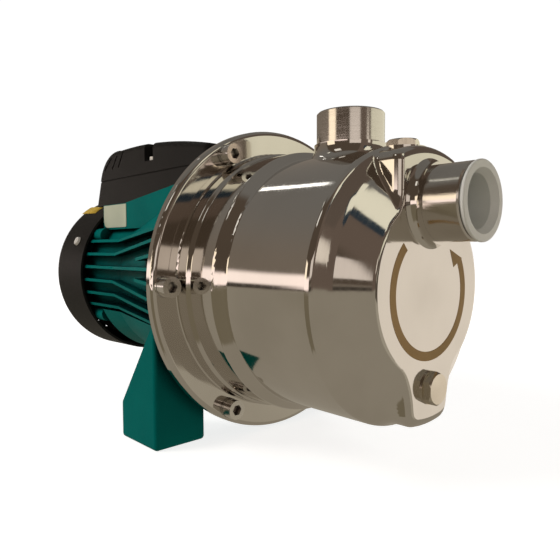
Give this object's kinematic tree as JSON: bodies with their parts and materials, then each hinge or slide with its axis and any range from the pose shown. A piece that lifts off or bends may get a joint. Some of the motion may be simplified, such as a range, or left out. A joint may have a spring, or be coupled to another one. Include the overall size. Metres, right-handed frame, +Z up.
{
  "type": "shallow well jet pump",
  "caption": "Self-priming shallow well jet pump: polished stainless casing with ejector on a finned, foot-mounted electric motor with terminal box.",
  "frame": {"origin": "centre of the two foot bolt holes, on the floor under the shaft", "axes": "+X along the shaft towards the suction port, +Z up, +Y across the feet"},
  "size_m": [0.3626, 0.198, 0.2037],
  "materials": {
    "casing_steel": "polished stainless sheet",
    "port_steel": "turned stainless",
    "grey_plug": "moulded plastic",
    "plug_metal": "turned steel",
    "zinc_steel": "zinc plated",
    "frame_paint": "teal paint on cast aluminium",
    "black_plastic": "moulded, fine grain",
    "shaft_steel": "ground steel",
    "bearing_steel": "ground",
    "lamination": "laminated steel",
    "winding": "varnished copper",
    "seal_rubber": "rubber",
    "ceramic": "ceramic",
    "carbon": "carbon",
    "impeller_brass": "cast brass",
    "wet_plastic": "glass filled plastic",
    "pale_plastic": "moulded plastic",
    "bare_plate": "bare plate"
  },
  "bodies": {
    "pump": {"pump_body": "casing_steel", "outlet_port": "port_steel", "suction_port": "port_steel", "filler_washer": "plug_metal", "drain_washer": "plug_metal", "flange_screws": "zinc_steel", "flange_washers": "zinc_steel", "motor_frame": "frame_paint", "end_shield": "frame_paint", "end_shield_screws": "zinc_steel", "cover_screws": "zinc_steel", "fan_cover": "black_plastic", "front_bearing_outer_race": "bearing_steel", "front_bearing_balls": "bearing_steel", "rear_bearing_outer_race": "bearing_steel", "rear_bearing_balls": "bearing_steel", "wave_washer": "zinc_steel", "stator_core": "lamination", "stator_windings": "winding", "winding_leads": "seal_rubber", "seal_plate": "casing_steel", "body_o_ring": "seal_rubber", "venturi_o_ring": "seal_rubber", "ejector_o_ring": "seal_rubber", "seal_seat_boot": "seal_rubber", "seal_seat": "ceramic", "diffuser": "wet_plastic", "venturi_tube": "wet_plastic", "ejector_housing": "wet_plastic", "ejector_nozzle": "wet_plastic", "terminal_box_base": "black_plastic", "terminal_box_lid": "black_plastic", "terminal_box_gasket": "seal_rubber", "lid_screws": "zinc_steel", "box_screws": "zinc_steel", "terminal_block": "pale_plastic", "capacitor": "pale_plastic", "gland_body": "black_plastic", "gland_cap": "black_plastic", "gland_locknut": "black_plastic", "gland_seal": "seal_rubber", "rating_plate": "bare_plate"},
    "rotor": {"shaft": "shaft_steel", "rotor_core": "lamination", "front_bearing_inner_race": "bearing_steel", "rear_bearing_inner_race": "bearing_steel", "fan": "black_plastic", "fan_clip": "zinc_steel", "slinger": "seal_rubber", "seal_ring": "carbon", "seal_bellows": "seal_rubber", "impeller": "impeller_brass", "impeller_key": "shaft_steel", "impeller_nut": "zinc_steel"},
    "transit_plug": {"suction_plug": "grey_plug"},
    "fill_plug": {"filler_plug": "plug_metal"},
    "empty_plug": {"drain_plug": "plug_metal"}
  },
  "joints": [
    {"name": "shaft_spin", "type": "hinge", "parent": "pump", "child": "rotor", "pos_m": [0, 0, 0.103], "axis": [1, 0, 0], "continuous": true},
    {"name": "transit_plug_pull", "type": "slide", "parent": "pump", "child": "transit_plug", "axis": [1, 0, 0], "range_m": [0, 0.03]},
    {"name": "filler_plug_lift", "type": "slide", "parent": "pump", "child": "fill_plug", "axis": [0, 0, 1], "range_m": [0, 0.02]},
    {"name": "drain_plug_pull", "type": "slide", "parent": "pump", "child": "empty_plug", "axis": [1, 0, 0], "range_m": [0, 0.02]}
  ]
}
